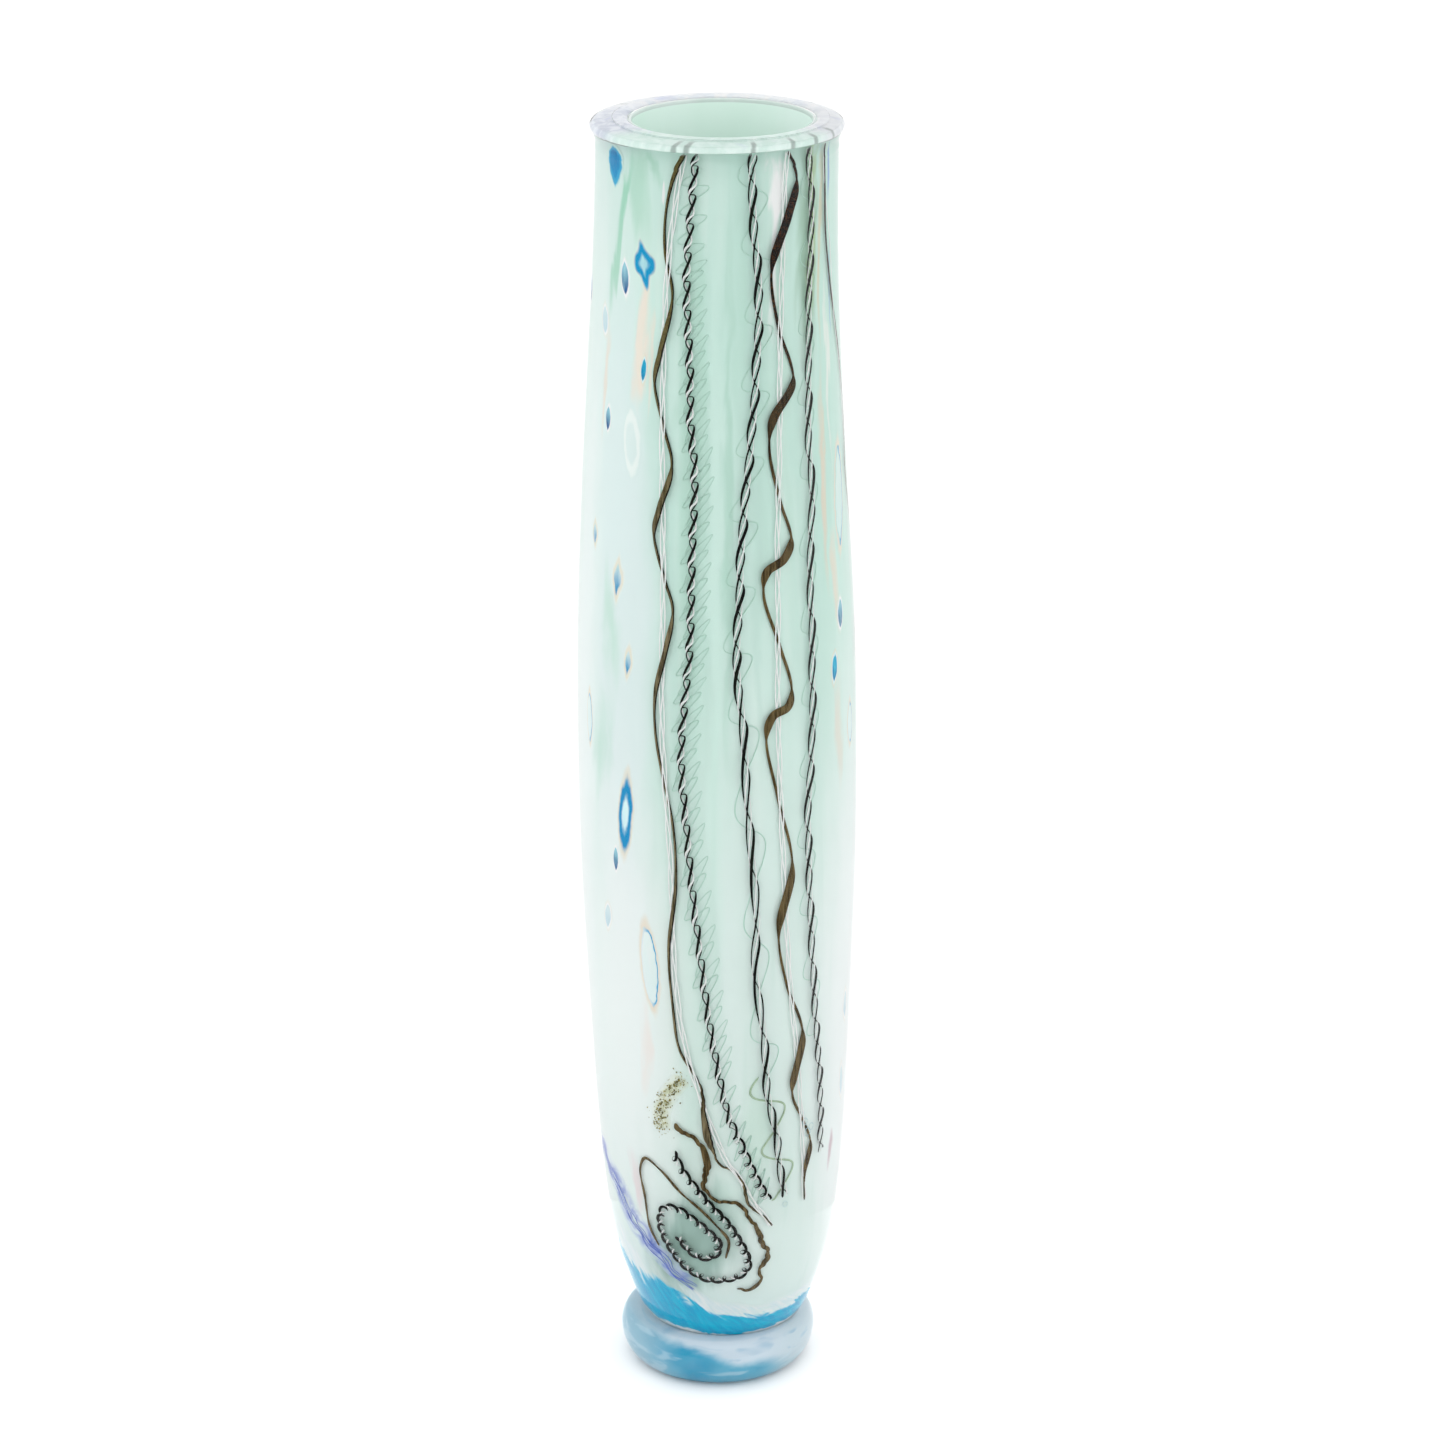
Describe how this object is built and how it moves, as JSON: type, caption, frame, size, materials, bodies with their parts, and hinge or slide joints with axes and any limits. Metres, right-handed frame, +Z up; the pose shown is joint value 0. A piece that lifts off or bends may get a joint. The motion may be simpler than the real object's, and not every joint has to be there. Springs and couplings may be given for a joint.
{
  "type": "hand blown art glass vase",
  "caption": "Tall slender cased glass vase: mint opal core with coloured canes and cane slices under thick clear glass, on a clear blue foot.",
  "frame": {"origin": "centre of the foot's underside, on the surface the vase stands on", "axes": "+Z up along the vase's axis, -Y towards the front face, +X to the right seen from the front"},
  "size_m": [0.0864, 0.0864, 0.406],
  "materials": {
    "clear_glass": "thick colourless glass, fire polished outside, with a faint cool tint in its thickness",
    "opal_glass": "translucent pale mint opal glass with darker mint and white streaks",
    "foot_glass": "clear pale blue glass, slightly hazy, bluer through its thickness",
    "turquoise_glass": "strong turquoise glass that thins out into brush-like streaks",
    "black_cane_glass": "near-black threads twisted with a white thread",
    "brown_cane_glass": "dark brown to black glass ribbon with fine white threads",
    "violet_glass": "violet-blue threads in pale blue glass",
    "fleck_glass": "olive and gold flecks",
    "blue_slice_glass": "steel blue drop in a thin white ring",
    "turquoise_slice_glass": "turquoise drop with a white middle",
    "pale_slice_glass": "pale blue ring with a faint beige halo"
  },
  "bodies": {
    "root": {"foot": "foot_glass", "opal_core": "opal_glass", "clear_casing": "clear_glass", "turquoise_collar": "turquoise_glass", "blue_slice_1": "blue_slice_glass", "blue_slice_10": "blue_slice_glass", "blue_slice_11": "blue_slice_glass", "blue_slice_2": "blue_slice_glass", "blue_slice_3": "blue_slice_glass", "blue_slice_4": "blue_slice_glass", "blue_slice_5": "blue_slice_glass", "blue_slice_6": "blue_slice_glass", "blue_slice_7": "blue_slice_glass", "blue_slice_8": "blue_slice_glass", "blue_slice_9": "blue_slice_glass", "coiled_cane": "black_cane_glass", "fleck_patch": "fleck_glass", "outline_cane": "brown_cane_glass", "pale_slice_1": "pale_slice_glass", "pale_slice_10": "pale_slice_glass", "pale_slice_11": "pale_slice_glass", "pale_slice_12": "pale_slice_glass", "pale_slice_2": "pale_slice_glass", "pale_slice_3": "pale_slice_glass", "pale_slice_4": "pale_slice_glass", "pale_slice_5": "pale_slice_glass", "pale_slice_6": "pale_slice_glass", "pale_slice_7": "pale_slice_glass", "pale_slice_8": "pale_slice_glass", "pale_slice_9": "pale_slice_glass", "ribbon_cane_back_left": "brown_cane_glass", "ribbon_cane_back_right": "brown_cane_glass", "ribbon_cane_edge": "brown_cane_glass", "ribbon_cane_left": "brown_cane_glass", "ribbon_cane_lower": "brown_cane_glass", "ribbon_cane_right": "brown_cane_glass", "turquoise_slice_1": "turquoise_slice_glass", "turquoise_slice_2": "turquoise_slice_glass", "turquoise_slice_3": "turquoise_slice_glass", "turquoise_slice_4": "turquoise_slice_glass", "turquoise_slice_5": "turquoise_slice_glass", "turquoise_slice_6": "turquoise_slice_glass", "turquoise_slice_7": "turquoise_slice_glass", "twisted_cane_back_left": "black_cane_glass", "twisted_cane_back_middle": "black_cane_glass", "twisted_cane_back_right": "black_cane_glass", "twisted_cane_left": "black_cane_glass", "twisted_cane_middle": "black_cane_glass", "twisted_cane_right": "black_cane_glass", "violet_trail": "violet_glass"}
  },
  "joints": []
}
